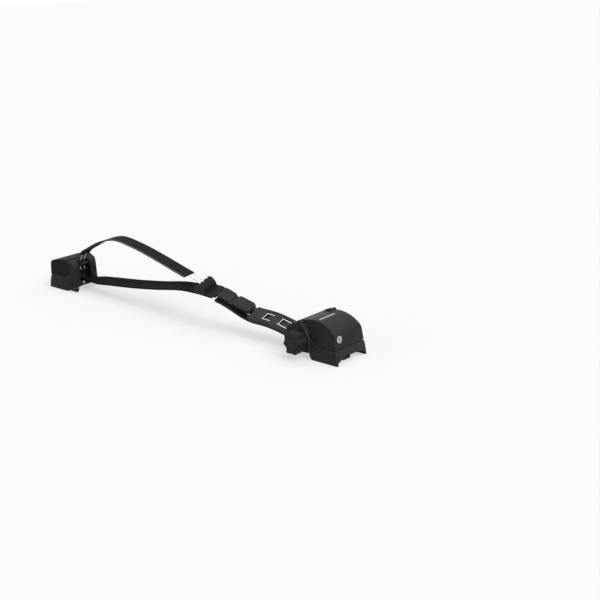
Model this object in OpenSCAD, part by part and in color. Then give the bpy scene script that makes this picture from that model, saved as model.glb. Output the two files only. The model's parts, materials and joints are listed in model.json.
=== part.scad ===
// Strap carrier for a roof bar: an anchor unit, a ratchet unit and the strap line between them.
// X runs along the roof bar, Y across it, Z up. Z = 0 is the crown of the bar.
// The origin is the middle of the anchor unit's seat, halfway between its two T-bolts.

/* [Units] */
// Half width of both housings at the bar
half_w = 40; // [38:1:42]
// Inward lean of the housing sides, per millimetre of height
draft = 0.085; // [0.05:0.005:0.1]
// Wall thickness of the moulded housings
wall = 2.6; // [2:0.2:3]
// Depth of the skirts below the crown of the bar
skirt = 10; // [9:0.5:11]
// Thickness of the rubber saddle pads
pad_t = 2.5; // [2:0.5:3]
// Distance from the origin to the middle of the ratchet unit's seat
ratchet_x = 779; // [775:1:785]
// Distance between the two T-bolts of a unit
bolt_gap = 32; // [30:1:33]

/* [Strap line] */
// Width of the straps and pads
strap_w = 30; // [28:1:31]
// Thickness of the lower strap
strap_t = 3; // [2:0.5:4]
// Thickness of the upper sleeve
sleeve_t = 2.4; // [2:0.2:3]
// Sideways lean of the hanging strap line, in degrees
lean_deg = 20; // [15:1:22]
// Diameter of the steel wires
wire_d = 2.2; // [1.8:0.2:2.4]
// Distance from the middle of the strap to each wire
wire_y = 8; // [7:0.5:9]

/* [Ratchet] */
// Radius of the tension knob over its lobes
knob_r = 21.5; // [20:0.5:23]
// Depth of the tension knob
knob_depth = 23; // [16:1:25]
// Number of lobes on the knob
knob_lobes = 8; // [6:1:10]
// Number of ratchet teeth, a multiple of four
teeth = 12; // [8:4:16]

/* [Hidden] */
$fn = 48;
gap = 0.3;
run_fit = 0.05;
lift = 14;
seat_x = [0, ratchet_x];
bolt_sides = [-1, 1];
bolt_r = 4;
nut_r = 10;
nut_h = 9;
floor_top = 5.5;
head_top = -5.6;
head_t = 4.2;
head_x = 12;
head_y = 18;
window_x = 15;
window_y = 23;
crown_r = 70;
flat_half = 13;
foot_w = 4;
a_hinge = [27, 50];
a_hinge_r = 8.5;
a_mouth_half = 14.5;
a_slot_half = 16.2;
a_split_x = 35.5;
a_bridge_x = 38.4;
a_nose = [31, 38.5];
a_nose_r = 19.4;
a_front_x = 50.4;
a_shoulder_z = 58.2;
a_shoulder_r = 9;
a_sill_z = 10.8;
strap_pin_at = [39, 8.5];
wire_bar_at = [39, 31];
guide_at = [42.6, 45.6];
r_hinge = [729, 52];
r_hinge_r = 6;
r_end = [811, 10];
r_lean = 7.4;
r_top = [760, -1];
r_top_r = 64;
r_corner_r = 14;
r_reach = (r_end - r_top) * [cos(r_lean), sin(r_lean)] - r_corner_r;
r_join = r_lean + acos(r_reach / (r_top_r - r_corner_r));
r_corner = r_top + (r_top_r - r_corner_r) * [cos(r_join), sin(r_join)];
spool_at = [731, 22.5];
shaft_r = 5;
cheek_y0 = 34;
cheek_y1 = 41;
knob_y1 = -cheek_y1 - 1;
knob_y0 = knob_y1 - knob_depth;
pawl_at = [754, 35.5];
pawl_y = [19.5, 24.5];
lock_at = [808, -26, 35];
lock_r = 6.5;
lock_neck = 5.2;
label_at = [764.5, -6];
label_size = [4.6, 40];
label_z = 62.8;
belt_w = 34.5;
belt_y = -0.75;
hood_at = [468, 60];
roller_at = [467, 61];
saddle_r = 10.4;
ladder_xs = [612, 650];

// Middle line of the lower strap in the leaning frame, as x and height
strap_pts = [[44, 0.5], [71, 1], [118, 5.5], [166, 11.5], [201, 15.5], [247, 21.5],
             [293, 28.5], [327, 34], [360, 40.5], [390, 46], [417, 49], [452, 50], [494, 48]];
// Middle line of the wires from the buckle to the drum, in the leaning frame
wire_pts = [[484, 53.5], [505, 52], [522, 47.5], [541, 39.5], [560, 30], [575, 24.5],
            [592, 21.5], [613, 21.5], [631, 20.5], [650, 17.5], [670, 12], [690, 5],
            [706, -0.4], [722, -3.3], [731, -3.3]];
// Middle line of the upper sleeve, as x and height above the bar
sleeve_pts = [[51.5, 68.4], [64, 79], [87, 90], [110, 101], [135, 111], [160, 118],
              [182, 121.5], [203, 121], [228, 117.5], [256, 112.5], [290, 105],
              [334, 94], [368, 85], [399, 77]];
// Wires from the sleeve's right end over the saddle in the buckle, as x, y, height and lean
lead_pts = [[399.4, 5.5, 77, 5], [412, 3.5, 73.5, 6], [426, 0, 71.5, 9], [438, -5.5, 71.6, 13],
            [449, -13, 73.6, 17], [456, -17.2, 76, 20], [462.3, -19.2, 81.4, 20],
            [468, -19.7, 82.8, 20], [472.6, -19.4, 81.9, 20]];
// Wires from the clamp bar past the guide roller to the sleeve, as x and height
tail_pts = [[39, 30], [39, 36], [37.6, 41], [37.2, 45.6], [38.7, 50],
            [44.2, 57], [48, 62.6], [51.4, 68.2]];

// Points on an arc
function arc(c, r, a0, a1, n) = [for (i = [0:n]) let (a = a0 + (a1 - a0) * i / n)
    c + r * [cos(a), sin(a)]];

// Smooth step from 0 to 1
function ease(t) = let (u = max(0, min(1, t))) u * u * (3 - 2 * u);

// One point of a smooth curve through four points
function smooth4(a, b, c, d, t) = b + (c - a) * (t / 2) + (2 * a - 5 * b + 4 * c - d) * (t * t / 2)
                                  + (3 * b - a - 3 * c + d) * (t * t * t / 2);

// A smooth curve through all points, with k steps between neighbours
function smooth(p, k) = let (n = len(p))
    [for (i = [0:n - 2], j = [0:k - 1])
        smooth4(p[max(i - 1, 0)], p[i], p[i + 1], p[min(i + 2, n - 1)], j / k),
     p[n - 1]];

// Height of a middle line at x, between the points of its curve
function height_at(curve, x) = lookup(x, curve);

// Leaning frame: x along the strap, y across it, h away from the bar
function leaned(x, y, h, a) = [x, y * cos(a) - h * sin(a), lift + y * sin(a) + h * cos(a)];

// Lean of the lower strap, level where it enters the anchor unit
function strap_lean(x) = lean_deg * ease((x - 58) / 60);

// Lean of the wires, level where they reach the drum
function wire_lean(x) = lean_deg * (1 - ease((x - 690) / 26));

module side(w, y = 0) {
    translate([0, y + w / 2, 0]) rotate([90, 0, 0]) linear_extrude(w) children();
}

module along(x0, x1) {
    translate([x0, 0, 0]) rotate([90, 0, 90]) linear_extrude(x1 - x0) children();
}

module level(z0, z1) {
    translate([0, 0, z0]) linear_extrude(z1 - z0) children();
}

module rod_y(at, r, y0, y1) {
    translate([at[0], y1, at[1]]) rotate([90, 0, 0]) cylinder(r = r, h = y1 - y0);
}

module rod_x(at, r, x0, x1) {
    translate([x0, at[0], at[1]]) rotate([0, 90, 0]) cylinder(r = r, h = x1 - x0);
}

module both_sides() {
    children();
    mirror([0, 1, 0]) children();
}

module lean() {
    translate([0, 0, lift]) rotate([lean_deg, 0, 0]) children();
}

// Strip of a belt between two offsets from its middle line, as an outline in x and height
module band(curve, x0, x1, low, high, n = 12) {
    xs = [for (i = [0:n]) x0 + (x1 - x0) * i / n];
    polygon(concat([for (x = xs) [x, height_at(curve, x) + low]],
                   [for (i = [n:-1:0]) [xs[i], height_at(curve, xs[i]) + high]]));
}

// Ribbon of rectangular section: rings of four corners
module ribbon(rings) {
    n = len(rings);
    polyhedron(points = [for (r = rings) each r],
               faces = concat([[0, 1, 2], [0, 2, 3]],
                              [for (i = [0:n - 2], j = [0:3], k = [0:1])
                                  let (a = 4 * i + j, b = 4 * i + (j + 1) % 4)
                                  k == 0 ? [a, a + 4, b + 4] : [a, b + 4, b]],
                              [[4 * n - 1, 4 * n - 2, 4 * n - 3], [4 * n - 1, 4 * n - 3, 4 * n - 4]]),
               convexity = 6);
}

// Round tube along points: rings stand across the mean direction
module tube(pts, r, sides = 8) {
    n = len(pts);
    dirs = [for (i = [0:n - 1]) let (d = pts[min(i + 1, n - 1)] - pts[max(i - 1, 0)]) d / norm(d)];
    rings = [for (i = [0:n - 1]) let (u = cross(dirs[i], [0, 1, 0]), v = u / norm(u), w = cross(dirs[i], v))
             [for (k = [0:sides - 1]) let (a = 360 * k / sides) pts[i] + r * (cos(a) * v + sin(a) * w)]];
    polyhedron(points = [for (g = rings) each g],
               faces = concat([[for (k = [sides - 1:-1:0]) k]],
                              [for (i = [0:n - 2], k = [0:sides - 1], m = [0:1])
                                  let (a = sides * i + k, b = sides * i + (k + 1) % sides)
                                  m == 0 ? [a, b, b + sides] : [a, b + sides, a + sides]],
                              [[for (k = [0:sides - 1]) sides * (n - 1) + k]]),
               convexity = 8);
}

function crown(y) = abs(y) <= flat_half ? 0 : -(y * y - flat_half * flat_half) / (2 * crown_r);
arch_ys = [for (y = [-36:4:36]) y];

// Underside of a housing above its pad
module arch_void() {
    polygon(concat([[-half_w + foot_w, -skirt - 1]],
                   [for (y = arch_ys) [y, crown(y) + pad_t]],
                   [[half_w - foot_w, -skirt - 1]]));
}

// Section of a saddle pad
module pad_section() {
    n = len(arch_ys);
    polygon(concat([for (y = arch_ys) [y, crown(y)]],
                   [for (i = [n - 1:-1:0]) [arch_ys[i], crown(arch_ys[i]) + pad_t]]));
}

// Drafted cross section of both housings
module housing_section(top) {
    w0 = half_w;
    w1 = half_w - draft * (top + skirt);
    polygon([[-w0, -skirt], [w0, -skirt], [w1, top], [-w1, top]]);
}

module bolt_places(unit) {
    for (s = bolt_sides) translate([seat_x[unit] + s * bolt_gap / 2, 0, 0]) children();
}

module saddle_pad(unit, x0, x1) {
    color([0.05, 0.05, 0.05]) difference() {
        along(x0, x1) pad_section();
        bolt_places(unit) translate([-window_x / 2, -window_y / 2, -1])
            cube([window_x, window_y, pad_t + 2]);
    }
}

module t_bolt(unit, s) {
    color([0.72, 0.72, 0.74]) translate([seat_x[unit] + s * bolt_gap / 2, 0, 0]) {
        translate([-head_x / 2, -head_y / 2, head_top - head_t]) cube([head_x, head_y, head_t]);
        translate([0, 0, head_top - 1]) cylinder(r = bolt_r, h = 30 - head_top + 1);
    }
}

module thumb_nut(unit, s) {
    color([0.12, 0.12, 0.12]) translate([seat_x[unit] + s * bolt_gap / 2, 0, floor_top + gap])
        difference() {
            union() {
                cylinder(r = 7, h = nut_h);
                translate([0, 0, 2]) linear_extrude(nut_h - 2) union() {
                    circle(r = nut_r - 1.6);
                    for (a = [0:45:315]) rotate(a) translate([nut_r - 1.8, 0]) circle(r = 1.8, $fn = 24);
                }
            }
            translate([0, 0, -1]) cylinder(r = bolt_r + run_fit, h = nut_h + 2);
        }
}

// Outline of the anchor base seen from the side
module anchor_side() {
    polygon(concat([[-35, -skirt], [-33.4, 3], [-31.2, 12], [-30, 16.6], [-12, 20.4], [24, 20.4],
                    [32.5, 26.4], [a_split_x + 1, 29]],
                   arc(a_hinge, a_hinge_r + 1.4, 0, 24, 3),
                   [[35.4, 55.8], [34.8, 56.9]],
                   arc(a_nose, a_nose_r, 78, 0, 10),
                   [[a_front_x, 30], [a_front_x, 3], [57.5, -skirt]]));
}

// Outline of the anchor unit seen from above, with the width of its nose
module anchor_plan(nose) {
    polygon([[-36, -41], [18, -41], [30, -38.6], [38, -34.2], [60, -nose],
             [60, nose], [38, 34.2], [30, 38.6], [18, 41], [-36, 41]]);
}

module louvres() {
    for (i = [0:2]) {
        translate([-15, -half_w - 1, 1.6 + 4 * i]) cube([26 + 3 * i, 2.6, 1.6]);
    }
}

// Slots down the front of each cheek
module cheek_ribs() {
    for (i = [0:2]) {
        translate([a_front_x - 1.2, -25.6 + 3.6 * i, 6]) cube([6, 1.4, 30]);
    }
}

// Toe of each cheek, flaring over the shoulder of the bar
module anchor_toe() {
    level(-7.2, 0.6) polygon([[40, -38.4], [58, -38.4], [66, -37], [66, -33], [52, -30], [40, -30]]);
}

// Drafted section of the anchor base, with rounded shoulders
module shoulder_section() {
    w = half_w - draft * (a_shoulder_z - a_shoulder_r + skirt);
    c = [w - a_shoulder_r, a_shoulder_z - a_shoulder_r];
    polygon(concat([[-half_w, -skirt], [half_w, -skirt]],
                   arc(c, a_shoulder_r, 5, 90, 6),
                   arc([-c[0], c[1]], a_shoulder_r, 90, 175, 6)));
}

// Raised inner edge of the anchor base, behind the seam of its cover
module anchor_tongue() {
    level(8, 30) difference() {
        translate([-29.4, -36]) square([61, 72]);
        translate([-28.4, -34.2]) square([70, 68.4]);
    }
}

module anchor_lug() {
    side(3, 13) union() {
        translate(a_hinge) circle(r = 4.4);
        polygon([[22.6, 34], [32.6, 34], [32.6, 39.5], [29, 41.5], [29, 50], [22.6, 50]]);
    }
}

module anchor_shell() {
    intersection() {
        side(90) anchor_side();
        along(-40, 70) shoulder_section();
        union() {
            level(-skirt, 64) anchor_plan(25.2);
            level(-skirt, 2) anchor_plan(31.2);
        }
    }
}

module anchor_base() {
    color([0.16, 0.16, 0.16]) difference() {
        union() {
            difference() {
                anchor_shell();
                translate([-31 + wall, -half_w + wall + 3.2, floor_top])
                    cube([28.6 + 31 - wall, 2 * (half_w - wall - 3.2), 60]);
                side(2 * a_mouth_half) polygon([[32.6, 11], [70, 11], [70, 70], [a_bridge_x, 70],
                                                [a_bridge_x, 52], [32.6, 51]]);
                side(2 * a_slot_half) polygon([[32.6, 4], [45.5, 4], [45.5, a_sill_z], [70, a_sill_z],
                                               [70, 18.8], [32.6, 18.8]]);
                both_sides() louvres();
                both_sides() cheek_ribs();
            }
            intersection() {
                anchor_tongue();
                along(-40, 70) offset(delta = -2) housing_section(64);
                side(90) polygon([[-30, 8], [-30, 17.2], [-12, 21], [24, 21], [31.6, 27], [31.6, 8]]);
            }
            both_sides() anchor_lug();
            both_sides() anchor_toe();
            translate([28.6, -a_mouth_half - 0.4, floor_top - 1]) cube([4, 2 * a_mouth_half + 0.8, 35]);
        }
        along(-50, 80) arch_void();
        bolt_places(0) translate([0, 0, -5]) cylinder(r = bolt_r + gap, h = 20);
        rod_y(a_hinge, 2, -40, 40);
        rod_y(strap_pin_at, 2.5, -24, 24);
        rod_y(wire_bar_at, 3, -23, 23);
        rod_y(guide_at, 2, -22, 22);
    }
}

module anchor_pad() {
    saddle_pad(0, -34, 50);
}

function anchor_cover_profile(d) = concat(
    [[-31 + d, 10], [-29.6 + d, 40]],
    arc([-20.4, 43], 9.3 - min(d, 9), 180, 106, 6),
    arc([25, -95], 154 - d, 105, 89.4, 8),
    arc(a_hinge, a_hinge_r - d * 0.4, 88, 0, 8),
    [[a_split_x - d * 0.4, 10]]);

module anchor_cover_solid(d, w) {
    hull() {
        for (s = [[0, -5.6], [0.8, -2.6], [2.2, -0.9], [5, 0]])
            side(2 * (w + s[1])) polygon(anchor_cover_profile(d + s[0]));
    }
}

module anchor_cover() {
    color([0.15, 0.15, 0.15]) difference() {
        union() {
            difference() {
                intersection() {
                    anchor_cover_solid(0, half_w - 0.6);
                    along(-60, 60) housing_section(70);
                }
                intersection() {
                    anchor_cover_solid(wall - 0.4, half_w - wall - 0.6);
                    translate([-60, 0, 0]) along(0, 120) offset(delta = -wall) housing_section(70);
                }
            }
            both_sides() side(3, 17.2) union() {
                translate(a_hinge) circle(r = 4.4);
                translate([23.6, 50]) square([6.4, 7.4]);
            }
        }
        side(100) polygon([[-60, -30], [-60, 17.6], [-30, 17.6], [-12, 21.4], [24, 21.4], [32.2, 27.6],
                           [36, 30.4], [60, 30.4], [60, -30]]);
        rod_y(a_hinge, 2 + run_fit, -40, 40);
        translate([25.4, -15.6, 18]) cube([30, 31.2, a_hinge[1] - 18]);
        both_sides() anchor_panel_recess();
    }
}

// Framed panel let into each side of the anchor cover
module anchor_panel_recess() {
    translate([0, -36.4 - 2.55, 0]) rotate([-4.86, 0, 0]) side(3) difference() {
        translate([-19, 25.5]) square([45, 26]);
        translate([-17, 27.5]) square([41, 22]);
    }
}

module anchor_hinge_pin() {
    color([0.7, 0.7, 0.72]) rod_y(a_hinge, 2, -19.5, 19.5);
}

module wire_bar() {
    color([0.7, 0.7, 0.72]) difference() {
        rod_y(wire_bar_at, 3, -22.5, 22.5);
        for (y = [-5, 5]) translate([wire_bar_at[0], y, wire_bar_at[1] - 5])
            cylinder(r = 1.5, h = 10, $fn = 24);
    }
}

module wire_guide() {
    color([0.75, 0.75, 0.76]) {
        rod_y(guide_at, 2, -21.5, 21.5);
        rod_y(guide_at, 4, -9, 9);
        for (y = [-11, 9]) rod_y(guide_at, 5.4, y, y + 2);
    }
}

module strap_pin() {
    color([0.78, 0.78, 0.8]) rod_y(strap_pin_at, 2.5, -23.5, 23.5);
}

module strap_clevis() {
    color([0.6, 0.6, 0.62]) difference() {
        union() {
            rod_y(strap_pin_at, 4.4, -14, 14);
            side(28) polygon([[39, 11.4], [44.5, 11.4], [46.5, 11.6], [62, 11.8], [62, 12.8],
                              [44, 12.9], [39, 12.9]]);
        }
        rod_y(strap_pin_at, 2.5, -20, 20);
    }
}

module clevis_rivets() {
    color([0.75, 0.75, 0.76]) for (y = [-8, 8]) translate([55, y, 16.3]) cylinder(r = 3, h = 1.2);
}

module anchor_screws() {
    color([0.8, 0.8, 0.8]) for (y = [-9.5, 9.5]) {
        rod_x([y, 7], 3, a_front_x, a_front_x + 1.8);
    }
}

// Two wire tails from the bar past the guide into the sleeve
module anchor_wires() {
    color([0.8, 0.8, 0.82]) for (y = [-5, 5]) {
        tube(smooth([for (p = tail_pts) [p[0], y, p[1]]], 3), wire_d / 2);
    }
}

module anchor_bolt_outer() {
    t_bolt(0, -1);
}

module anchor_bolt_inner() {
    t_bolt(0, 1);
}

module anchor_nut_outer() {
    thumb_nut(0, -1);
}

module anchor_nut_inner() {
    thumb_nut(0, 1);
}

module lower_strap() {
    line = smooth(strap_pts, 3);
    w = strap_w / 2;
    t = strap_t / 2;
    color([0.11, 0.12, 0.1]) ribbon([for (p = line) let (a = strap_lean(p[0]))
        [leaned(p[0], -w, p[1] - t, a), leaned(p[0], w, p[1] - t, a),
         leaned(p[0], w, p[1] + t, a), leaned(p[0], -w, p[1] + t, a)]]);
}

module upper_sleeve() {
    line = smooth(sleeve_pts, 3);
    n = len(line);
    color([0.1, 0.1, 0.1]) ribbon([for (i = [0:n - 1])
        let (p = line[i], d = line[min(i + 1, n - 1)] - line[max(i - 1, 0)], u = d / norm(d),
             a = 5 * ease((p[0] - 110) / 60), w = strap_w / 2, t = sleeve_t / 2)
        [for (c = [[-w, -t], [w, -t], [w, t], [-w, t]])
            [p[0] - u[1] * c[1], c[0] * cos(a), p[1] + u[0] * c[1] + c[0] * sin(a)]]]);
}

module sleeve_wires() {
    color([0.8, 0.8, 0.82]) for (s = [-5, 6]) {
        tube(smooth([for (p = lead_pts) [p[0], p[1] + s * cos(p[3]), p[2] + s * sin(p[3])]], 3), 0.9);
    }
}

wire_line = smooth(wire_pts, 4);

module wire_channels() {
    r = wire_d / 2 + 0.4;
    for (y = [-wire_y, wire_y]) side(2 * r, y) band(wire_line, 470, 731, -r, r, 60);
}

// Cheek of the buckle beside the roller
module hood_cheek(y, x0) {
    side(2.8, y) polygon([[x0, 52], [482, 52], [482.4, 62], [480, 69], [474, 72.6], [466, 72.6],
                          [x0 + 2, 68], [x0, 60]]);
}

module buckle_hood() {
    color([0.14, 0.14, 0.14]) lean() difference() {
        union() {
            side(34) polygon(concat(arc(hood_at, 15, -28, 72, 10), arc(hood_at, 13, 72, -28, 10)));
            side(30) polygon([[446, 51.9], [446, 53.2], [456, 54.2], [480, 55.6], [484, 58.2], [502, 57.4],
                              [507, 55.4], [507, 51], [495, 51], [494.6, 50.4], [452, 51.9]]);
            hood_cheek(-15.6, 455);
            hood_cheek(15.6, 461);
        }
        rod_y(roller_at, 2.5, -16, 16);
        side(1.2, -0.5) polygon([[486, 57.2], [500, 56.6], [500, 60], [486, 60]]);
        wire_channels();
    }
}

// Half-round saddle in the buckle that the wires turn over
module buckle_saddle() {
    color([0.1, 0.1, 0.1]) lean() difference() {
        side(26) intersection() {
            translate(hood_at) circle(r = saddle_r, $fn = 96);
            translate([450, 57.2]) square([40, 30]);
        }
        rod_y(roller_at, 2.5, -16, 16);
    }
}

module buckle_pin() {
    color([0.7, 0.7, 0.72]) lean() rod_y(roller_at, 2.5, -15.8, 15.8);
}

// Thin left part of the belt pad, under the two blocks
module belt_plate() {
    color([0.13, 0.13, 0.13]) lean() side(belt_w, belt_y) band(wire_line, 505, 582.8, -8.4, -3.4, 14);
}

// Outline of a block seen from above, rounder at its right end
module block_plan(x0, x1) {
    hull() {
        for (y = [-9.5, 11.5]) translate([x0 + 2.5, y]) circle(r = 2.5, $fn = 32);
        translate([x1 - 6, -6]) circle(r = 6, $fn = 32);
        translate([x1 - 3, 11]) circle(r = 3, $fn = 32);
    }
}

// Padded block riding over the wires, with its underside and its top as x and height
module strap_block(x0, x1, under, top) {
    color([0.15, 0.15, 0.15]) lean() difference() {
        intersection() {
            side(40) polygon(concat(under, top));
            level(0, 90) block_plan(x0, x1);
        }
        wire_channels();
    }
}

module strap_block_left() {
    strap_block(508.4, 538, [[508, 48.2], [522, 44.5], [530, 41.6], [539, 37.6]],
                [[539, 44], [535, 48.6], [523, 53.8], [512, 57], [508, 55.6]]);
}

module strap_block_right() {
    difference() {
        strap_block(543, 581, [[542, 36], [552, 31.2], [565, 28.4], [582, 27]],
                    [[582, 32], [578, 35.6], [560, 41], [547, 44.6], [542, 42.6]]);
        lean() side(12, -14.9) band(wire_line, 552, 584, -8, 3, 10);
    }
    color([0.15, 0.15, 0.15]) lean() difference() {
        side(24, 0.5) polygon([[538.3, 37.9], [546, 34.5], [546, 42], [538.3, 43.4]]);
        wire_channels();
    }
}

// Pad with ramped pockets that show the wires and a rung
module ladder_pad() {
    color([0.12, 0.12, 0.12]) lean() difference() {
        side(belt_w, belt_y) band(wire_line, 583, 693, -8.4, 2.6, 22);
        wire_channels();
        for (y = [-14.4, 13]) side(1.4, y) band(wire_line, 587, 693, 1.6, 4, 22);
        for (x = ladder_xs) side(21.6) polygon([
            [x - 1.6, height_at(wire_line, x) + 9], [x - 1.6, height_at(wire_line, x) - 3.6],
            [x + 2.5, height_at(wire_line, x + 2) - 3.4], [x + 21, height_at(wire_line, x + 21) + 0.6],
            [x + 21, height_at(wire_line, x + 21) + 12]]);
    }
}

module belt_wire(s) {
    color([0.8, 0.8, 0.82])
        tube([for (p = wire_line) leaned(p[0], s * wire_y, p[1], wire_lean(p[0]))], wire_d / 2);
}

module belt_wire_near() {
    belt_wire(-1);
}

module belt_wire_far() {
    belt_wire(1);
}

module ladder_rungs() {
    y = wire_y - wire_d / 2 - 0.1;
    color([0.8, 0.8, 0.82]) lean() for (x = ladder_xs) {
        rod_y([x + 0.2, height_at(wire_line, x + 0.2)], wire_d / 2, -y, y);
    }
}

// Side outline of the nose cheeks with the hinge ears
module nose_outline() {
    union() {
        translate([722, 26]) circle(r = 26, $fn = 72);
        translate(r_hinge) circle(r = 6.4);
        polygon([[716, 40], [733, 54], [736.4, 51.4], [742, 43.8], [747.2, 35], [750, 30], [750, 2],
                 [724, 0]]);
        polygon([[694, -7], [696, -9.4], [716, -8], [726, 0], [716, 10], [699, 12]]);
    }
}

// X of the leaning end face of the ratchet unit at a height
function end_x(z) = r_end[0] - (z - r_end[1]) * tan(r_lean);

// Side outline of the ratchet skirt under the cover
module skirt_outline() {
    polygon([[748, 2], [749, -4], [754, -skirt], [end_x(-skirt), -skirt], [end_x(16.2), 16.2],
             [799, 14.6], [786, 13.8], [772, 15.4], [760, 19.8], [752, 26.4], [748, 31]]);
}

// Raised inner edge of the ratchet base, behind the seam of its cover
module ratchet_tongue() {
    intersection() {
        side(90) polygon([[753.6, 8], [753.6, 26.6], [760.4, 20.8], [772.2, 16.4], [786, 14.8],
                          [799, 15.6], [807, 16.8], [807, 8]]);
        level(8, 40) difference() {
            translate([748, -34]) square([59, 68]);
            translate([740, -32.6]) square([65.6, 65.2]);
        }
    }
}

module pawl_post() {
    side(2.6, 0) polygon([[747, 4], [761, 4], [759.4, 38.5], [756, 40.5], [752, 40.5], [748.6, 36.5]]);
}

module ratchet_base() {
    color([0.16, 0.16, 0.16]) difference() {
        union() {
            difference() {
                intersection() {
                    side(90) skirt_outline();
                    along(740, 820) housing_section(60);
                    level(-skirt, 60) polygon([[740, -41], [808.5, -41], [815, -37.6],
                                               [815, 37.6], [808.5, 41], [740, 41]]);
                }
                translate([752, -33.4, floor_top]) cube([54.6, 66.8, 60]);
                translate([740, -33.4, 18]) cube([30, 66.8, 60]);
            }
            both_sides() side(cheek_y1 - cheek_y0, (cheek_y0 + cheek_y1) / 2) nose_outline();
            ratchet_tongue();
            translate([704, -cheek_y0 - 1, floor_top - 2.9]) cube([48, 2 * cheek_y0 + 2, 3]);
            translate([0, 27.2, 0]) pawl_post();
            translate([0, 16.8, 0]) pawl_post();
            side(6.5, -14.75) polygon([[786.5, 4], [791.5, 4], [791.5, 37.2], [798.4, 37.2],
                                       [798.4, 39.8], [786.5, 39.8]]);
        }
        along(690, 830) arch_void();
        bolt_places(1) translate([0, 0, -5]) cylinder(r = bolt_r + gap, h = 20);
        rod_y(r_hinge, 2, -39, 39);
        rod_y(spool_at, shaft_r + run_fit, -50, 50);
        rod_y(pawl_at, 2, 10, 40);
    }
}

module ratchet_pad() {
    saddle_pad(1, 750, 809);
}

function ratchet_cover_profile(d) = concat(
    arc(r_top, r_top_r - d, 121, r_join, 14),
    arc(r_corner, r_corner_r - d, r_join - 5, r_lean, 6),
    [[r_end[0] - d, r_end[1]], [728 + d / 4, r_end[1]]]);

module ratchet_cover_solid(d, w) {
    hull() {
        for (s = [[0, -4.6], [0.7, -2.2], [1.8, -0.8], [4.2, 0]])
            side(2 * (w + s[1])) polygon(ratchet_cover_profile(d + s[0]));
    }
}

module ratchet_cover() {
    color([0.15, 0.15, 0.15]) difference() {
        union() {
            difference() {
                intersection() {
                    ratchet_cover_solid(0, half_w - 0.4);
                    along(700, 830) housing_section(70);
                }
                intersection() {
                    ratchet_cover_solid(wall, half_w - wall - 0.4);
                    along(700, 830) offset(delta = -wall) housing_section(70);
                }
                side(120) polygon([[700, -40], [700, 60], [733.4, 60], [737.6, 52], [743.4, 44.4],
                                   [748.6, 35.6], [753.4, 27.6], [760.4, 21.2], [772.2, 16.8],
                                   [786, 15.2], [799, 16], [830, 20.8], [830, -40]]);
                both_sides() side(10, 38.6) offset(delta = 0.8) nose_outline();
            }
            rod_y(r_hinge, r_hinge_r, -33.4, 33.4);
            side(66.6) polygon([[729, 58], [743, 60.7], [743, 56], [735, 50]]);
            side(12, 28) polygon([[733, 57], [733.6, 61.4], [749.5, 66.2], [752.5, 62.6], [752.5, 59]]);
        }
        rod_y(r_hinge, 2 + run_fit, -50, 50);
        label_recess();
        side(60) polygon([[end_x(22) - 0.7, 21.4], [end_x(22) + 9, 21.4], [end_x(22) + 9, 22.8],
                          [end_x(22) - 0.7, 22.8]]);
        lock_rod(lock_neck + run_fit, -14, 20);
        lock_rod(lock_r + 1.7, -1.6, 20);
    }
}

module label_shape(grow, z0, z1) {
    half = label_size / 2;
    translate([label_at[0], label_at[1], label_z]) rotate([0, 4, 0])
        translate([-half[0] - grow, -half[1] - grow, z0])
            cube([label_size[0] + 2 * grow, label_size[1] + 2 * grow, z1 - z0]);
}

module label_recess() {
    label_shape(0.4, -1.2, 6);
}

module label_plate() {
    color([0.6, 0.6, 0.58]) label_shape(0, -1.2, -0.2);
}

module ratchet_hinge_pin() {
    color([0.7, 0.7, 0.72]) rod_y(r_hinge, 2, -38.8, 38.8);
}

// The lock's own frame, leaning with the end face
module lock_frame() {
    translate(lock_at) rotate([0, -r_lean, 0]) children();
}

module lock_rod(r, x0, x1) {
    lock_frame() rod_x([0, 0], r, x0, x1);
}

module lock_barrel() {
    color([0.85, 0.85, 0.86]) difference() {
        union() {
            lock_rod(lock_r, -1.4, 0.4);
            lock_rod(lock_neck, -11, -1);
        }
        lock_frame() rotate([35, 0, 0]) translate([-1, -1, -4.6]) cube([5, 2, 9.2]);
    }
}

module lock_cam() {
    color([0.6, 0.6, 0.62]) lock_frame() translate([-13.6, 0, 0]) union() {
        rotate([0, 90, 0]) cylinder(r = 5, h = 2.4);
        translate([0, -3, -15]) cube([2.4, 6, 15]);
    }
}

module drum_shaft() {
    color([0.6, 0.6, 0.62]) rod_y(spool_at, shaft_r, knob_y0 + 4, cheek_y1 + 3);
}

module wire_drum() {
    color([0.2, 0.2, 0.2]) difference() {
        union() {
            rod_y(spool_at, 8, -15, 15);
            for (y = [-17, 15]) rod_y(spool_at, 13, y, y + 2);
        }
        rod_y(spool_at, shaft_r, -30, 30);
    }
}

module drum_winding() {
    color([0.8, 0.8, 0.82]) for (y0 = [-12, 4]) difference() {
        rod_y(spool_at, 10.4, y0, y0 + 8);
        rod_y(spool_at, 8, y0 - 1, y0 + 9);
    }
}

module ratchet_wheel() {
    tip = 15;
    root = 11.6;
    color([0.6, 0.6, 0.62]) difference() {
        side(pawl_y[1] - pawl_y[0] - 1, (pawl_y[0] + pawl_y[1]) / 2) translate(spool_at)
            polygon([for (i = [0:teeth - 1], k = [0:1]) let (a = 360 * i / teeth + (k == 0 ? 4 : 10))
                     (k == 0 ? root : tip) * [cos(a), sin(a)]]);
        rod_y(spool_at, shaft_r, 10, 30);
    }
}

// Softly lobed outline of the knob
module knob_outline(r) {
    n = 12 * knob_lobes;
    lobe = 1.4;
    translate(spool_at) polygon([for (i = [0:n - 1]) let (a = 360 * i / n)
        (r - lobe + lobe * cos(knob_lobes * (a - 10))) * [cos(a), sin(a)]]);
}

module knob_layer(r, y0, y1) {
    side(y1 - y0, (y0 + y1) / 2) knob_outline(r);
}

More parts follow.
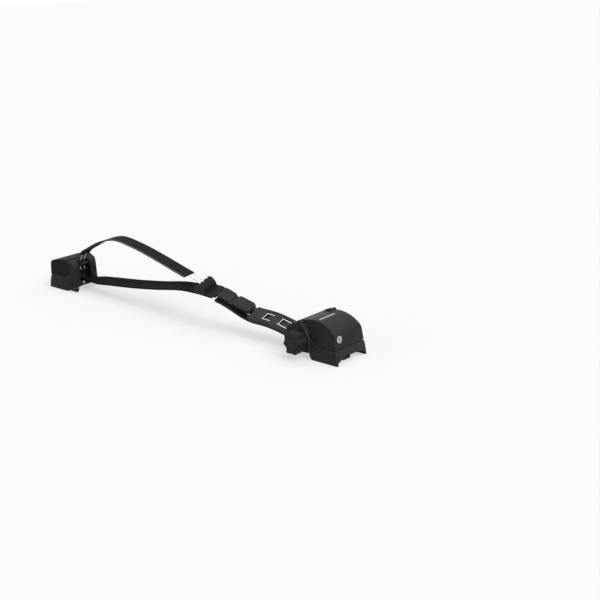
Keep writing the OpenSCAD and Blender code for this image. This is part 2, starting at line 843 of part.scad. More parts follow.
module tension_knob() {
    color([0.14, 0.14, 0.14]) difference() {
        union() {
            knob_layer(knob_r - 3.6, knob_y0, knob_y0 + 2);
            knob_layer(knob_r - 1.4, knob_y0 + 1.4, knob_y0 + 4);
            knob_layer(knob_r, knob_y0 + 3.4, knob_y1 - 5);
            rod_y(spool_at, knob_r - 4, knob_y0 + 10, knob_y1);
        }
        rod_y(spool_at, 9, knob_y0 - 1, knob_y0 + 2.4);
        rod_y(spool_at, shaft_r, knob_y0 + 4, knob_y1 + 1);
    }
}

module knob_cap() {
    color([0.18, 0.18, 0.18]) rod_y(spool_at, 8.6, knob_y0 + 0.4, knob_y0 + 2.4);
}

module pawl_lever() {
    color([0.25, 0.25, 0.25]) difference() {
        union() {
            rod_y(pawl_at, 4.6, pawl_y[0], pawl_y[1]);
            side(pawl_y[1] - pawl_y[0] - 0.8, (pawl_y[0] + pawl_y[1]) / 2)
                polygon([[754, 32.5], [749, 31.9], [744.4, 28.7], [743.6, 30.7], [747, 37.1], [752, 39.5],
                         [761, 39.9], [783, 44.5], [793, 41.5], [792.4, 39.1], [782, 41.5], [763, 36.5],
                         [758, 33.5]]);
        }
        rod_y(pawl_at, 2 + run_fit, 10, 40);
    }
}

module pawl_pin() {
    color([0.7, 0.7, 0.72]) rod_y(pawl_at, 2, 15.6, 28.4);
}

module ratchet_screws() {
    color([0.6, 0.6, 0.6]) for (x = [712, 742]) rod_y([x, 12], 3, cheek_y1, cheek_y1 + 1);
}

module ratchet_bolt_left() {
    t_bolt(1, -1);
}

module ratchet_bolt_right() {
    t_bolt(1, 1);
}

module ratchet_nut_left() {
    thumb_nut(1, -1);
}

module ratchet_nut_right() {
    thumb_nut(1, 1);
}

anchor_base();
anchor_pad();
anchor_cover();
anchor_hinge_pin();
wire_bar();
wire_guide();
strap_pin();
strap_clevis();
clevis_rivets();
anchor_screws();
anchor_wires();
anchor_bolt_outer();
anchor_bolt_inner();
anchor_nut_outer();
anchor_nut_inner();
lower_strap();
upper_sleeve();
sleeve_wires();
buckle_hood();
buckle_saddle();
buckle_pin();
belt_plate();
strap_block_left();
strap_block_right();
ladder_pad();
belt_wire_near();
belt_wire_far();
ladder_rungs();
ratchet_base();
ratchet_pad();
ratchet_cover();
ratchet_hinge_pin();
label_plate();
lock_barrel();
lock_cam();
drum_shaft();
wire_drum();
drum_winding();
ratchet_wheel();
tension_knob();
knob_cap();
pawl_lever();
pawl_pin();
ratchet_screws();
ratchet_bolt_left();
ratchet_bolt_right();
ratchet_nut_left();
ratchet_nut_right();
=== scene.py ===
"""Looks of the strap carrier: camera, light, finishes, and the moulded, woven and wire pieces."""
import json
import math

import bmesh
import bpy
from mathutils import Matrix, Vector


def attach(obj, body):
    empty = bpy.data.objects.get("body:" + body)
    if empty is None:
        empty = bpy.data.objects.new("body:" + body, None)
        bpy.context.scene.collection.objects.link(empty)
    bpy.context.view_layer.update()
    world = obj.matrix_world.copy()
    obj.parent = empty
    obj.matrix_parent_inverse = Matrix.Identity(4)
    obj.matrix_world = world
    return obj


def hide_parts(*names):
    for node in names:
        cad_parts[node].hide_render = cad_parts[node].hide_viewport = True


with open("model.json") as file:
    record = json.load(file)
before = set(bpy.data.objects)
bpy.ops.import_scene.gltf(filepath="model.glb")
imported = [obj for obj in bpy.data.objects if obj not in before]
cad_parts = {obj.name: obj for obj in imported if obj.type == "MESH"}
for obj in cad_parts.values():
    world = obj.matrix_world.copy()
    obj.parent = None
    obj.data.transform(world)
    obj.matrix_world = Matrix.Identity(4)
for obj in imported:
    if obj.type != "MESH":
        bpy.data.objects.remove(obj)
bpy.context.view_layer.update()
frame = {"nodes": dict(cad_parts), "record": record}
MM = 0.001
NODES = frame["nodes"]
SCENE = bpy.context.scene
SLOT_OF = {part["node"]: part["material_slot"] for part in frame["record"]["subparts"]}
BODY_OF = {node: body for body, nodes in frame["record"]["behaviour"]["bodies"].items() for node in nodes}

# Sizes of the strap line, in millimetres
LIFT = 14.0
LEAN = math.radians(20)
STRAP_W = 30.0
STRAP_T = 3.0
SLEEVE_T = 2.4
SLEEVE_TILT = math.radians(5)
WIRE_R = 1.1
WIRE_Y = 8.0
LEAD_R = 0.9
TAIL_YS = (-5, 5)
LEAD_SHIFTS = (-5, 6)

# Where along the line each piece takes on its lean, and over what length
STRAP_LEANS = (58, 60)
SLEEVE_TILTS = (110, 60)
WIRES_LEVEL = (690, 26)

# Middle lines as x and height. Those of the strap and of the ladder line's wires count from LIFT, square
# to the lean, as they do in the solids, and the others from the seats.
STRAP_PTS = [(44, 0.5), (71, 1), (118, 5.5), (166, 11.5), (201, 15.5), (247, 21.5), (293, 28.5),
             (327, 34), (360, 40.5), (390, 46), (417, 49), (452, 50), (494, 48)]
WIRE_PTS = [(484, 53.5), (505, 52), (522, 47.5), (541, 39.5), (560, 30), (575, 24.5), (592, 21.5),
            (613, 21.5), (631, 20.5), (650, 17.5), (670, 12), (690, 5), (706, -0.4), (722, -3.3),
            (731, -3.3)]
SLEEVE_PTS = [(51.5, 68.4), (64, 79), (87, 90), (110, 101), (135, 111), (160, 118), (182, 121.5),
              (203, 121), (228, 117.5), (256, 112.5), (290, 105), (334, 94), (368, 85), (399, 77)]
TAIL_PTS = [(39, 30), (39, 36), (37.6, 41), (37.2, 45.6), (38.7, 50), (44.2, 57), (48, 62.6),
            (53.4, 70.2)]

# Middle line of the wires from the sleeve over the buckle's saddle, as x, y, z and tilt in degrees
LEAD_PTS = [(395, 6, 78, 5), (412, 3.5, 73.5, 6), (426, 0, 71.5, 9), (438, -5.5, 71.6, 13),
            (449, -13, 73.6, 17), (456, -17.2, 76, 20), (462.3, -19.2, 81.4, 20),
            (468, -19.7, 82.8, 20), (472.6, -19.4, 81.9, 20)]

# Steps between two points of a line, and around a section
BELT_STEPS = 10
WIRE_STEPS = 8
SHORT_WIRE_STEPS = 6
STRAP_SECTION_STEPS = 48
SLEEVE_SECTION_STEPS = 32
WIRE_SIDES = 14

# Section of the strap: its ridges and its groove, as the place across, the half-width and the height
GROOVE_Y = 4.8
STRAP_RIDGES = [(-13.0, 1.5, 0.95), (13.5, 1.0, 0.5), (GROOVE_Y, 0.8, -0.5), (6.6, 0.7, 0.3)]
STRAP_BODY = 0.34
STRAP_EDGE_LEAST = 0.05
EDGE_ROUND = 1.6

# Section of the sleeve: how much thinner its edges are, and the sewn line inside each of them
SLEEVE_EDGE_THIN = 0.8
SEAM_IN = 3.2
SEAM_HALF = 0.5
SEAM_DEEP = 0.35

# Thin plate inside each cheek of the ratchet housing, which closes the seam beside the cover: its
# outline as x and z, and its two distances from the middle
CHEEK_FLANGE = [(734.5, 52.4), (737.6, 53.6), (740.6, 51.0), (744.8, 44.4), (748.4, 37.4), (744.6, 36.6)]
CHEEK_FLANGE_YS = (34.0, 36.2)

# Camera: where the photograph was taken from, in the carrier's own frame
CAM_AT = Vector((1891.0, -1257.1, 634.6)) * MM
CAM_AZIMUTH = math.radians(43.544)
CAM_PITCH = math.radians(17.773)
CAM_ROLL = math.radians(-3.044)
CAM_LENS = 61.49
CAM_SENSOR = 36.0
CAM_REACH = 200.0


def make_camera():
    data = bpy.data.cameras.new("photo_camera")
    data.lens = CAM_LENS
    data.sensor_width = CAM_SENSOR
    data.clip_end = CAM_REACH
    camera = bpy.data.objects.new("photo_camera", data)
    SCENE.collection.objects.link(camera)
    sin_a, cos_a = math.sin(CAM_AZIMUTH), math.cos(CAM_AZIMUTH)
    sin_p, cos_p = math.sin(CAM_PITCH), math.cos(CAM_PITCH)
    forward = Vector((-sin_a * cos_p, cos_a * cos_p, -sin_p))
    right = Vector((cos_a, sin_a, 0))
    up = right.cross(forward)
    rolled_right = math.cos(CAM_ROLL) * right + math.sin(CAM_ROLL) * up
    rolled_up = math.cos(CAM_ROLL) * up - math.sin(CAM_ROLL) * right
    turn = Matrix((rolled_right, rolled_up, -forward)).transposed().to_4x4()
    camera.matrix_world = Matrix.Translation(CAM_AT) @ turn
    SCENE.camera = camera


make_camera()


# Shader helpers

# Sockets of the mix node when it mixes colours
MIX_FIRST = 6
MIX_SECOND = 7
MIX_RESULT = 2

# The span that a noise's values fill
NOISE_LOW = 0.3
NOISE_HIGH = 0.7


def node_of(tree, kind, **settings):
    made = tree.nodes.new(kind)
    for key, value in settings.items():
        setattr(made, key, value)
    return made


def fresh_material(name):
    material = bpy.data.materials.new(name)
    material.use_nodes = True
    tree = material.node_tree
    return material, tree, tree.nodes["Principled BSDF"]


def set_inputs(shader, **values):
    for key, value in values.items():
        shader.inputs[key.replace("_", " ")].default_value = value


def colour(rgb, tone=1.0):
    """A colour with its alpha, made darker or paler by a tone."""
    return (tone * rgb[0], tone * rgb[1], tone * rgb[2], 1.0)


def grey(level):
    return (level, level, level, 1.0)


def object_place(tree):
    return node_of(tree, "ShaderNodeTexCoord").outputs["Object"]


def strip_place(tree):
    """Place on a strip in millimetres: length along it, then width across it."""
    return node_of(tree, "ShaderNodeUVMap", uv_map="strip").outputs["UV"]


def split_place(tree, place):
    split = node_of(tree, "ShaderNodeSeparateXYZ")
    tree.links.new(place, split.inputs["Vector"])
    return split.outputs["X"], split.outputs["Y"]


def noise(tree, vector, scale, detail=3.0, rough=0.55):
    made = node_of(tree, "ShaderNodeTexNoise")
    made.inputs["Scale"].default_value = scale
    made.inputs["Detail"].default_value = detail
    made.inputs["Roughness"].default_value = rough
    tree.links.new(vector, made.inputs["Vector"])
    return made.outputs["Fac"]


def wave(tree, place, direction, scale, distortion=0.0):
    made = node_of(tree, "ShaderNodeTexWave", wave_type="BANDS", bands_direction=direction)
    made.inputs["Scale"].default_value = scale
    made.inputs["Distortion"].default_value = distortion
    tree.links.new(place, made.inputs["Vector"])
    return made.outputs["Fac"]


def ramp(tree, value, low, high, at_low, at_high):
    made = node_of(tree, "ShaderNodeMapRange")
    made.inputs["From Min"].default_value = low
    made.inputs["From Max"].default_value = high
    made.inputs["To Min"].default_value = at_low
    made.inputs["To Max"].default_value = at_high
    tree.links.new(value, made.inputs["Value"])
    return made.outputs["Result"]


def noise_ramp(tree, value, at_low, at_high):
    return ramp(tree, value, NOISE_LOW, NOISE_HIGH, at_low, at_high)


def mix(tree, factor, first, second):
    made = node_of(tree, "ShaderNodeMix", data_type="RGBA")
    tree.links.new(factor, made.inputs["Factor"])
    for socket, value in ((made.inputs[MIX_FIRST], first), (made.inputs[MIX_SECOND], second)):
        if isinstance(value, tuple):
            socket.default_value = value
        else:
            tree.links.new(value, socket)
    return made.outputs[MIX_RESULT]


def maths(tree, operation, first, second=None):
    made = node_of(tree, "ShaderNodeMath", operation=operation)
    for socket, value in zip(made.inputs, (first, second)):
        if isinstance(value, (int, float)):
            socket.default_value = value
        elif value is not None:
            tree.links.new(value, socket)
    return made.outputs["Value"]


def distance_from(tree, value, middle):
    return maths(tree, "ABSOLUTE", maths(tree, "SUBTRACT", value, middle))


def bump(tree, height, strength, distance):
    made = node_of(tree, "ShaderNodeBump")
    made.inputs["Strength"].default_value = strength
    made.inputs["Distance"].default_value = distance
    tree.links.new(height, made.inputs["Height"])
    return made.outputs["Normal"]


# Moulded plastic and rubber. The pointiness of a flat face is 0.5, more on an edge, less in a crease.
MOULD_CLOUDS = 38.0
MOULD_GLOSS = 140.0
MOULD_DARK = 0.86
MOULD_LIGHT = 1.16
# Paler edges are partly wear and partly a painted highlight; darker creases are painted shade.
WORN_EDGE_HIGHLIGHT_SPAN = (0.505, 0.56)
CREASE_PAINTED_SHADE_SPAN = (0.492, 0.45)
EDGE_SHARE = 0.75
CREASE_PAINTED_SHADE_TONE = 0.35
GLOSS_VARIES = 0.05
PLASTIC_GRAIN = 2200.0
RUBBER_GRAIN = 1500.0
GRAIN_STRENGTH = 0.35
GRAIN_DEPTH = 0.00012


def moulded(name, rgb, rough, specular, grain=PLASTIC_GRAIN, edge=2.1):
    """Moulded plastic or rubber: fine grain, cloudy tone, edges paler for wear and as a painted highlight,
    and creases darker as painted shade.
    """
    material, tree, shader = fresh_material(name)
    place = object_place(tree)
    clouds = noise_ramp(tree, noise(tree, place, MOULD_CLOUDS, 4.0), 0.0, 1.0)
    body = mix(tree, clouds, colour(rgb, MOULD_DARK), colour(rgb, MOULD_LIGHT))
    pointed = node_of(tree, "ShaderNodeNewGeometry").outputs["Pointiness"]
    # Mixes in the wear with the painted highlight on edges, then the painted shade in creases.
    for span, tone in ((WORN_EDGE_HIGHLIGHT_SPAN, edge), (CREASE_PAINTED_SHADE_SPAN, CREASE_PAINTED_SHADE_TONE)):
        body = mix(tree, ramp(tree, pointed, *span, 0.0, EDGE_SHARE), body, colour(rgb, tone))
    tree.links.new(body, shader.inputs["Base Color"])
    gloss = noise_ramp(tree, noise(tree, place, MOULD_GLOSS), rough - GLOSS_VARIES, rough + GLOSS_VARIES)
    tree.links.new(gloss, shader.inputs["Roughness"])
    set_inputs(shader, Specular_IOR_Level=specular)
    fine = bump(tree, noise(tree, place, grain, 2.0), GRAIN_STRENGTH, GRAIN_DEPTH)
    tree.links.new(fine, shader.inputs["Normal"])
    return material


# Steel
STEEL_LINES = 900.0
STEEL_STRETCH = (0.15, 1.0, 1.0)
STEEL_DARK = 0.8


def steel(name, rgb, rough):
    """Drawn or plated steel with fine lines."""
    material, tree, shader = fresh_material(name)
    stretch = node_of(tree, "ShaderNodeMapping")
    stretch.inputs["Scale"].default_value = STEEL_STRETCH
    tree.links.new(object_place(tree), stretch.inputs["Vector"])
    lines = noise(tree, stretch.outputs["Vector"], STEEL_LINES)
    body = mix(tree, lines, colour(rgb, STEEL_DARK), colour(rgb))
    tree.links.new(body, shader.inputs["Base Color"])
    tree.links.new(noise_ramp(tree, lines, rough - 0.06, rough + 0.08), shader.inputs["Roughness"])
    tree.links.new(bump(tree, lines, 0.2, 0.00005), shader.inputs["Normal"])
    set_inputs(shader, Metallic=1.0)
    return material


# Wire
STRAND_DARK = (0.62, 0.63, 0.64)
STRAND_LIGHT = (0.9, 0.91, 0.92)
STRAND_LAY = 0.9


def cable(name):
    """Stranded stainless wire: the lay of the strands winds along the map's length."""
    material, tree, shader = fresh_material(name)
    lay = wave(tree, strip_place(tree), "DIAGONAL", STRAND_LAY)
    body = mix(tree, lay, colour(STRAND_DARK), colour(STRAND_LIGHT))
    tree.links.new(body, shader.inputs["Base Color"])
    tree.links.new(bump(tree, lay, 0.5, 0.00015), shader.inputs["Normal"])
    set_inputs(shader, Metallic=0.75, Roughness=0.34)
    return material


# Sleeve: ribs, and a pale dashed line that far from the middle, with so many dashes a millimetre
WARP = ("X", 0.42, 0.6)
WEFT = ("Y", 0.3, 0.4)
PALE_DASH_Y = 13.6
PALE_DASH_HALF = 0.6
PALE_DASHES_A_MM = 0.24
PALE_DASH_SHARE = 0.72
PALE_DASH_TONE = (0.3, 0.3, 0.29)


def pale_edge_dashes(tree, along, across):
    """1 on the short pale dashes near both edges of the strip."""
    off_line = distance_from(tree, maths(tree, "ABSOLUTE", across), PALE_DASH_Y)
    on_line = maths(tree, "LESS_THAN", off_line, PALE_DASH_HALF)
    beat = maths(tree, "FRACT", maths(tree, "MULTIPLY", along, PALE_DASHES_A_MM))
    return maths(tree, "MULTIPLY", on_line, maths(tree, "LESS_THAN", beat, PALE_DASH_SHARE))


def woven(name, rgb):
    """Flat woven sleeve: fine ribs across and along, with a pale dashed line inside each edge."""
    material, tree, shader = fresh_material(name)
    place = strip_place(tree)
    ribs = maths(tree, "MULTIPLY", wave(tree, place, *WARP), wave(tree, place, *WEFT))
    body = mix(tree, ribs, colour(rgb, 0.7), colour(rgb, 1.25))
    clouds = noise_ramp(tree, noise(tree, place, 0.06, 4.0), 0.0, 0.4)
    body = mix(tree, clouds, body, colour(rgb, 1.5))
    body = mix(tree, pale_edge_dashes(tree, *split_place(tree, place)), body, colour(PALE_DASH_TONE))
    tree.links.new(body, shader.inputs["Base Color"])
    tree.links.new(bump(tree, ribs, 0.6, 0.0002), shader.inputs["Normal"])
    set_inputs(shader, Roughness=0.8, Specular_IOR_Level=0.08, Sheen_Weight=0.04, Sheen_Roughness=0.5)
    return material


# Strap: painted shade along its near edge and in its groove; where the near edge darkens, and how far from
# the groove's middle the groove does
NEAR_EDGE_PAINTED_SHADE_SPAN = (-12.2, -13.6)
GROOVE_PAINTED_SHADE_SPAN = (1.0, 0.4)
GROOVE_PAINTED_SHADE_SHARE = 0.9
STRAP_PAINTED_SHADE_TONE = 0.22
STRAP_GRAIN = 900.0


def coated(name, rgb):
    """Coated belt: smooth top, with painted shade along its thick near edge and in the groove towards the
    far one.
    """
    material, tree, shader = fresh_material(name)
    place = strip_place(tree)
    across = split_place(tree, place)[1]
    clouds = noise_ramp(tree, noise(tree, place, 0.05, 4.0), 0.0, 1.0)
    body = mix(tree, clouds, colour(rgb, 0.85), colour(rgb, 1.2))
    near = ramp(tree, across, *NEAR_EDGE_PAINTED_SHADE_SPAN, 0.0, 1.0)
    groove = ramp(tree, distance_from(tree, across, GROOVE_Y), *GROOVE_PAINTED_SHADE_SPAN, 0.0, GROOVE_PAINTED_SHADE_SHARE)
    # Painted shade: the near edge and the groove are mixed towards a dark tone.
    body = mix(tree, maths(tree, "MAXIMUM", near, groove), body, colour(rgb, STRAP_PAINTED_SHADE_TONE))
    tree.links.new(body, shader.inputs["Base Color"])
    fine = noise(tree, object_place(tree), STRAP_GRAIN, 2.0)
    tree.links.new(bump(tree, fine, GRAIN_STRENGTH, GRAIN_DEPTH), shader.inputs["Normal"])
    set_inputs(shader, Roughness=0.55, Specular_IOR_Level=0.025)
    return material


HOUSING = moulded("housing_plastic", (0.027, 0.031, 0.029), 0.52, 0.07)
COVER = moulded("cover_plastic", (0.026, 0.027, 0.0255), 0.44, 0.09)
# A darker, less glossy copy of the cover plastic, as painted shade on the anchor's cover, which is the same
# plastic as the ratchet's.
COVER_SHADED_COPY = moulded("anchor_cover_shaded_plastic", (0.0225, 0.0235, 0.022), 0.55, 0.025)
# A paler copy of the housing plastic, as painted light on the ratchet's base, which is the same plastic as
# the anchor's.
HOUSING_LIT_COPY = moulded("ratchet_housing_lit_plastic", (0.038, 0.042, 0.04), 0.52, 0.06)
KNOB = moulded("knob_plastic", (0.018, 0.0205, 0.0195), 0.5, 0.12)
NUT = moulded("nut_nylon", (0.008, 0.008, 0.008), 0.55, 0.08)
RUBBER = moulded("pad_rubber", (0.031, 0.034, 0.032), 0.5, 0.08, grain=RUBBER_GRAIN)
LADDER_RUBBER = moulded("ladder_rubber", (0.043, 0.046, 0.044), 0.5, 0.08, grain=RUBBER_GRAIN)
SEAT_RUBBER = moulded("seat_rubber", (0.006, 0.006, 0.006), 0.75, 0.05, grain=RUBBER_GRAIN)
BUCKLE = moulded("buckle_plastic", (0.012, 0.013, 0.0125), 0.4, 0.08)
STRAP = coated("strap_coating", (0.0076, 0.0092, 0.0072))
LABEL = moulded("label_strip", (0.36, 0.36, 0.345), 0.5, 0.3, edge=1.05)
STEEL = steel("plated_steel", (0.42, 0.43, 0.44), 0.36)
DARK_STEEL = steel("blacked_steel", (0.03, 0.03, 0.03), 0.5)
LOCK = steel("lock_chrome", (0.5, 0.51, 0.51), 0.24)
WIRE = cable("strand_wire")
SLEEVE = woven("sleeve_weave", (0.011, 0.0115, 0.0115))

# Finish of each material slot, and of the nodes that differ from their slot
FINISHES = {"housing": HOUSING, "cover": COVER, "knob": KNOB, "nut": NUT, "pad_rubber": RUBBER,
            "buckle": BUCKLE, "strap": STRAP, "sleeve": SLEEVE, "wire": STEEL, "steel": STEEL,
            "label": LABEL, "lock": LOCK}
OWN_FINISH = {"anchor_pad": SEAT_RUBBER, "ratchet_pad": SEAT_RUBBER, "ratchet_hinge_pin": DARK_STEEL,
              "strap_clevis": DARK_STEEL, "wire_drum": NUT, "wire_bar": DARK_STEEL,
              "wire_guide": DARK_STEEL, "anchor_cover": COVER_SHADED_COPY,
              "ratchet_base": HOUSING_LIT_COPY, "ladder_pad": LADDER_RUBBER}
OWN_FINISH.update({node: DARK_STEEL for node in NODES if "_bolt_" in node})


def finish_of(node):
    return OWN_FINISH.get(node, FINISHES[SLOT_OF[node]])


def finish_solids():
    for node, solid in NODES.items():
        if not solid.material_slots:
            solid.data.materials.append(finish_of(node))
        for held in solid.material_slots:
            held.material = finish_of(node)


finish_solids()


# Mesh helpers

def place_piece(piece, node, material):
    """Gives a piece its finish and its body, and hides the solid it stands for."""
    piece.data.materials.clear()
    piece.data.materials.append(material)
    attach(piece, BODY_OF[node])
    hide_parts(node)


def smooth_faces(mesh):
    mesh.polygons.foreach_set("use_smooth", [True] * len(mesh.polygons))
    mesh.update()


def new_piece(name, mesh):
    piece = bpy.data.objects.new(name, mesh)
    SCENE.collection.objects.link(piece)
    return piece


def curve_through(points, steps):
    """Points of a smooth curve through the given ones."""
    out = []
    last = len(points) - 1
    for i in range(last):
        around = (points[max(i - 1, 0)], points[i], points[i + 1], points[min(i + 2, last)])
        for j in range(steps):
            t = j / steps
            out.append(tuple(q + (r - p) * t / 2 + (2 * p - 5 * q + 4 * r - s) * t * t / 2
                             + (3 * q - p - 3 * r + s) * t ** 3 / 2 for p, q, r, s in zip(*around)))
    out.append(tuple(float(v) for v in points[-1]))
    return out


def ease(x, start, run):
    """0 up to the start, 1 past the run, and smooth between."""
    u = min(max((x - start) / run, 0.0), 1.0)
    return u * u * (3 - 2 * u)


def leaned(x, y, h, angle):
    """A point of the strap line, given across and square to its lean."""
    sin_a, cos_a = math.sin(angle), math.cos(angle)
    return Vector((x, y * cos_a - h * sin_a, LIFT + y * sin_a + h * cos_a))


def skin(name, rings, lengths, widths):
    """A closed mesh through rings of points, in millimetres, with a map of length and width."""
    mesh = bpy.data.meshes.new(name)
    work = bmesh.new()
    made = [[work.verts.new(Vector(point) * MM) for point in ring] for ring in rings]
    strip = work.loops.layers.uv.new("strip")
    count = len(rings[0])
    for i in range(len(rings) - 1):
        for k in range(count):
            m = (k + 1) % count
            face = work.faces.new((made[i][k], made[i][m], made[i + 1][m], made[i + 1][k]))
            spots = ((lengths[i], widths[k]), (lengths[i], widths[k + 1]),
                     (lengths[i + 1], widths[k + 1]), (lengths[i + 1], widths[k]))
            for loop, spot in zip(face.loops, spots):
                loop[strip].uv = spot
    work.faces.new(list(reversed(made[0])))
    work.faces.new(made[-1])
    bmesh.ops.recalc_face_normals(work, faces=work.faces)
    work.to_mesh(mesh)
    work.free()
    smooth_faces(mesh)
    return new_piece(name, mesh)


def path_lengths(points):
    out = [0.0]
    for a, b in zip(points, points[1:]):
        out.append(out[-1] + (Vector(b) - Vector(a)).length)
    return out


def neighbours(points, i):
    """The points before and after one, or the one itself at an end."""
    return points[max(i - 1, 0)], points[min(i + 1, len(points) - 1)]


def places_across(steps):
    """Places across the strap's width, from the near edge to the far one."""
    return [-STRAP_W / 2 + STRAP_W * k / steps for k in range(steps + 1)]


def both_faces(top):
    """A section's outline from its top line: the line, then its mirror image back."""
    return top + [(y, -rise) for y, rise in reversed(top)]


def widths_of(outline):
    """Width of each point of a closed outline, with the first one again at the end."""
    widths = [y for y, rise in outline]
    return widths + [widths[0]]


# Lower strap: a coated belt with a bead along each edge

def strap_section():
    top = []
    for y in places_across(STRAP_SECTION_STEPS):
        rise = STRAP_T * STRAP_BODY
        rise += sum(height * math.exp(-((y - middle) / half) ** 2) for middle, half, height in STRAP_RIDGES)
        inwards = min((STRAP_W / 2 - abs(y)) / EDGE_ROUND, 1.0)
        top.append((y, rise * math.sqrt(max(1 - (1 - inwards) ** 2, STRAP_EDGE_LEAST))))
    return both_faces(top)


def lower_strap():
    line = curve_through(STRAP_PTS, BELT_STEPS)
    outline = strap_section()
    rings = [[leaned(x, y, h + rise, LEAN * ease(x, *STRAP_LEANS)) for y, rise in outline] for x, h in line]
    lengths = path_lengths([(x, 0, h) for x, h in line])
    place_piece(skin("lower_strap_belt", rings, lengths, widths_of(outline)), "lower_strap", STRAP)


lower_strap()


# Upper sleeve: a flattened woven tube that carries the wires over the cargo

def sleeve_section():
    top = []
    for y in places_across(SLEEVE_SECTION_STEPS):
        edge = STRAP_W / 2 - abs(y)
        rise = SLEEVE_T / 2 * (1 - (1 - min(edge / EDGE_ROUND, 1.0)) ** 2 * SLEEVE_EDGE_THIN)
        top.append((y, rise - SEAM_DEEP * math.exp(-((edge - SEAM_IN) / SEAM_HALF) ** 2)))
    return both_faces(top)


def upper_sleeve():
    line = curve_through(SLEEVE_PTS, BELT_STEPS)
    outline = sleeve_section()
    rings = []
    for i, (x, z) in enumerate(line):
        before, after = neighbours(line, i)
        ahead = Vector((after[0] - before[0], after[1] - before[1])).normalized()
        tilt = SLEEVE_TILT * ease(x, *SLEEVE_TILTS)
        sin_t, cos_t = math.sin(tilt), math.cos(tilt)
        rings.append([Vector((x - ahead.y * rise, y * cos_t, z + ahead.x * rise + y * sin_t))
                      for y, rise in outline])
    lengths = path_lengths([(x, 0, z) for x, z in line])
    place_piece(skin("upper_sleeve_woven", rings, lengths, widths_of(outline)), "upper_sleeve", SLEEVE)


upper_sleeve()


# Wires

# A direction that no wire starts out along
WIRE_ASIDE = Vector((0.13, 0.97, 0.2))


def wire_tube(name, points, radius):
    """A round wire along points, in millimetres."""
    centre = [Vector(point) for point in points]
    before, after = neighbours(centre, 0)
    side = (after - before).normalized().cross(WIRE_ASIDE).normalized()
    turns = [2 * math.pi * k / WIRE_SIDES for k in range(WIRE_SIDES + 1)]
    rings = []
    for i, spot in enumerate(centre):
        before, after = neighbours(centre, i)
        ahead = (after - before).normalized()
        side = (side - ahead * side.dot(ahead)).normalized()
        up = ahead.cross(side)
        rings.append([spot + radius * (math.cos(turn) * side + math.sin(turn) * up) for turn in turns[:-1]])
    return skin(name, rings, path_lengths(centre), [radius * turn for turn in turns])


def join(name, parts):
    """One piece of several meshes."""
    work = bmesh.new()
    for part in parts:
        mesh = part.data
        work.from_mesh(mesh)
        bpy.data.objects.remove(part)
        bpy.data.meshes.remove(mesh)
    joined = bpy.data.meshes.new(name)
    work.to_mesh(joined)
    work.free()
    smooth_faces(joined)
    return new_piece(name, joined)


def ladder_wires():
    line = curve_through(WIRE_PTS, WIRE_STEPS)
    for side, node in ((-1, "belt_wire_near"), (1, "belt_wire_far")):
        route = [leaned(x, side * WIRE_Y, h, LEAN * (1 - ease(x, *WIRES_LEVEL))) for x, h in line]
        place_piece(wire_tube(node + "_strand", route, WIRE_R), node, WIRE)


def anchor_tails():
    tails = []
    for y in TAIL_YS:
        route = curve_through([(x, y, z) for x, z in TAIL_PTS], SHORT_WIRE_STEPS)
        tails.append(wire_tube("tail", route, WIRE_R))
    place_piece(join("anchor_wire_tails", tails), "anchor_wires", WIRE)


def sleeve_leads():
    leads = []
    for shift in LEAD_SHIFTS:
        points = []
        for x, y, z, degrees in LEAD_PTS:
            tilt = math.radians(degrees)
            points.append((x, y + shift * math.cos(tilt), z + shift * math.sin(tilt)))
        leads.append(wire_tube("lead", curve_through(points, SHORT_WIRE_STEPS), LEAD_R))
    place_piece(join("sleeve_wire_leads", leads), "sleeve_wires", WIRE)


ladder_wires()
anchor_tails()
sleeve_leads()


# Housings, covers, pads and buckle parts, with their edges rounded: voxel size in millimetres,
# smoothing passes, and the share of the faces that is kept
ROUNDED = [("anchor_base", 0.55, 3, 0.5), ("anchor_cover", 0.55, 3, 0.5), ("ratchet_base", 0.55, 3, 0.5),
           ("ratchet_cover", 0.55, 4, 0.5), ("tension_knob", 0.5, 4, 0.6), ("buckle_hood", 0.4, 4, 0.6),
           ("buckle_saddle", 0.4, 3, 0.6), ("belt_plate", 0.4, 3, 0.6), ("strap_block_left", 0.5, 14, 0.8),
           ("strap_block_right", 0.5, 14, 0.8), ("ladder_pad", 0.4, 3, 0.6)]
SMOOTHING = 0.5


def add_cheek_flanges(mesh):
    """Adds the thin plate inside both cheeks. Rounding then makes one form of them and the housing."""
    work = bmesh.new()
    work.from_mesh(mesh)
    count = len(CHEEK_FLANGE)
    for side in (-1, 1):
        inner, outer = [[work.verts.new(Vector((x, side * y, z)) * MM) for x, z in CHEEK_FLANGE]
                        for y in CHEEK_FLANGE_YS]
        faces = [work.faces.new(inner), work.faces.new(outer)]
        for k in range(count):
            m = (k + 1) % count
            faces.append(work.faces.new((inner[k], inner[m], outer[m], outer[k])))
        bmesh.ops.recalc_face_normals(work, faces=faces)
    work.to_mesh(mesh)
    work.free()


def rounded(node, voxel, passes, keep):
    """A moulded piece: the solid's own form with its edges rounded over."""
    piece = new_piece(node + "_moulded", NODES[node].data.copy())
    if node == "ratchet_base":
        add_cheek_flanges(piece.data)
    remesh = piece.modifiers.new("round", "REMESH")
    remesh.mode = "VOXEL"
    remesh.voxel_size = voxel * MM
    soften = piece.modifiers.new("soften", "SMOOTH")
    soften.factor = SMOOTHING
    soften.iterations = passes
    thin = piece.modifiers.new("thin", "DECIMATE")
    thin.ratio = keep
    ready = bpy.data.meshes.new_from_object(piece.evaluated_get(bpy.context.evaluated_depsgraph_get()))
    piece.modifiers.clear()
    piece.data = ready
    smooth_faces(ready)
    place_piece(piece, node, finish_of(node))


for settings in ROUNDED:
    rounded(*settings)


# Floor and light

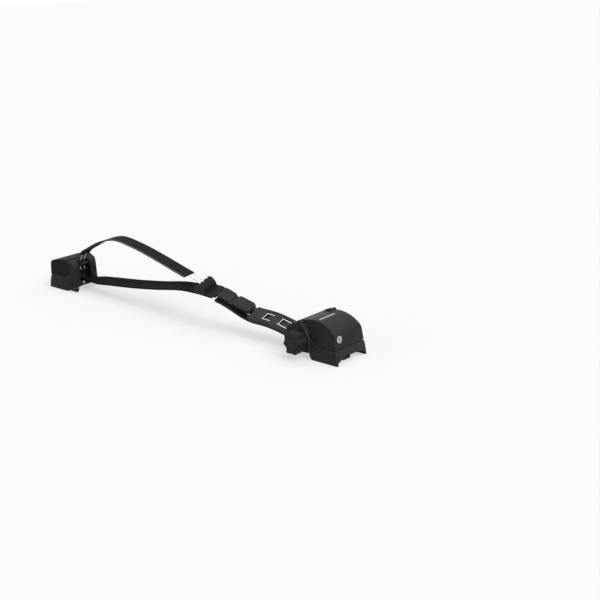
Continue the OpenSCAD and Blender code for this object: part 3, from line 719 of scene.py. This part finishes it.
FLOOR_Z = -10.0
FLOOR_SIZE = 60
FLOOR_X = 0.4
FLOOR_PALE = grey(0.95)
FLOOR_DIM = grey(0.35)
FLOOR_GLOW = 0.55
WORLD_STRENGTH = 0.25
WHITE = grey(1.0)

# Name, where the light comes from, its spread in degrees and its strength
SUNS = [("end_sun", (0.75, -0.1, 0.75), 40, 1.9), ("top_sun", (0.1, 0.3, 1.0), 60, 0.8),
        ("side_sun", (-0.3, -1.0, 0.6), 50, 0.25)]


def seen_directly(tree):
    """1 where the background shows, by itself or in metal and glass."""
    path = node_of(tree, "ShaderNodeLightPath")
    either = path.outputs["Is Camera Ray"]
    for kind in ("Is Glossy Ray", "Is Transmission Ray"):
        either = maths(tree, "MAXIMUM", either, path.outputs[kind])
    return either


def blend_shaders(tree, unseen, seen):
    """One shader for the light on the carrier, another for what the camera sees."""
    blend = node_of(tree, "ShaderNodeMixShader")
    tree.links.new(seen_directly(tree), blend.inputs["Fac"])
    tree.links.new(unseen, blend.inputs[1])
    tree.links.new(seen, blend.inputs[2])
    return blend.outputs["Shader"]


def white_floor():
    """A floor that shows white with the carrier's shadow, and gives little light back to it."""
    bpy.ops.mesh.primitive_plane_add(size=FLOOR_SIZE, location=(FLOOR_X, 0, FLOOR_Z * MM))
    floor = bpy.context.object
    floor.name = "studio_floor"
    material = bpy.data.materials.new("studio_white")
    material.use_nodes = True
    tree = material.node_tree
    tree.nodes.clear()
    pale = node_of(tree, "ShaderNodeBsdfDiffuse")
    pale.inputs["Color"].default_value = FLOOR_PALE
    dim = node_of(tree, "ShaderNodeBsdfDiffuse")
    dim.inputs["Color"].default_value = FLOOR_DIM
    glow = node_of(tree, "ShaderNodeEmission")
    glow.inputs["Strength"].default_value = 1.0
    shown = node_of(tree, "ShaderNodeMixShader")
    shown.inputs["Fac"].default_value = FLOOR_GLOW
    tree.links.new(pale.outputs["BSDF"], shown.inputs[1])
    tree.links.new(glow.outputs["Emission"], shown.inputs[2])
    out = node_of(tree, "ShaderNodeOutputMaterial")
    blend = blend_shaders(tree, dim.outputs["BSDF"], shown.outputs["Shader"])
    tree.links.new(blend, out.inputs["Surface"])
    floor.data.materials.append(material)


def studio_world():
    world = bpy.data.worlds.new("studio_world")
    SCENE.world = world
    world.use_nodes = True
    tree = world.node_tree
    tree.nodes.clear()
    light = node_of(tree, "ShaderNodeBackground")
    light.inputs["Color"].default_value = WHITE
    light.inputs["Strength"].default_value = WORLD_STRENGTH
    shown = node_of(tree, "ShaderNodeBackground")
    shown.inputs["Color"].default_value = WHITE
    out = node_of(tree, "ShaderNodeOutputWorld")
    blend = blend_shaders(tree, light.outputs["Background"], shown.outputs["Background"])
    tree.links.new(blend, out.inputs["Surface"])


def suns():
    """Broad lights from above."""
    for name, source, spread, strength in SUNS:
        data = bpy.data.lights.new(name, "SUN")
        data.energy = strength
        data.angle = math.radians(spread)
        lamp = bpy.data.objects.new(name, data)
        SCENE.collection.objects.link(lamp)
        lamp.rotation_euler = (-Vector(source)).to_track_quat("-Z", "Y").to_euler()


white_floor()
studio_world()
suns()
SCENE.view_settings.view_transform = "Standard"
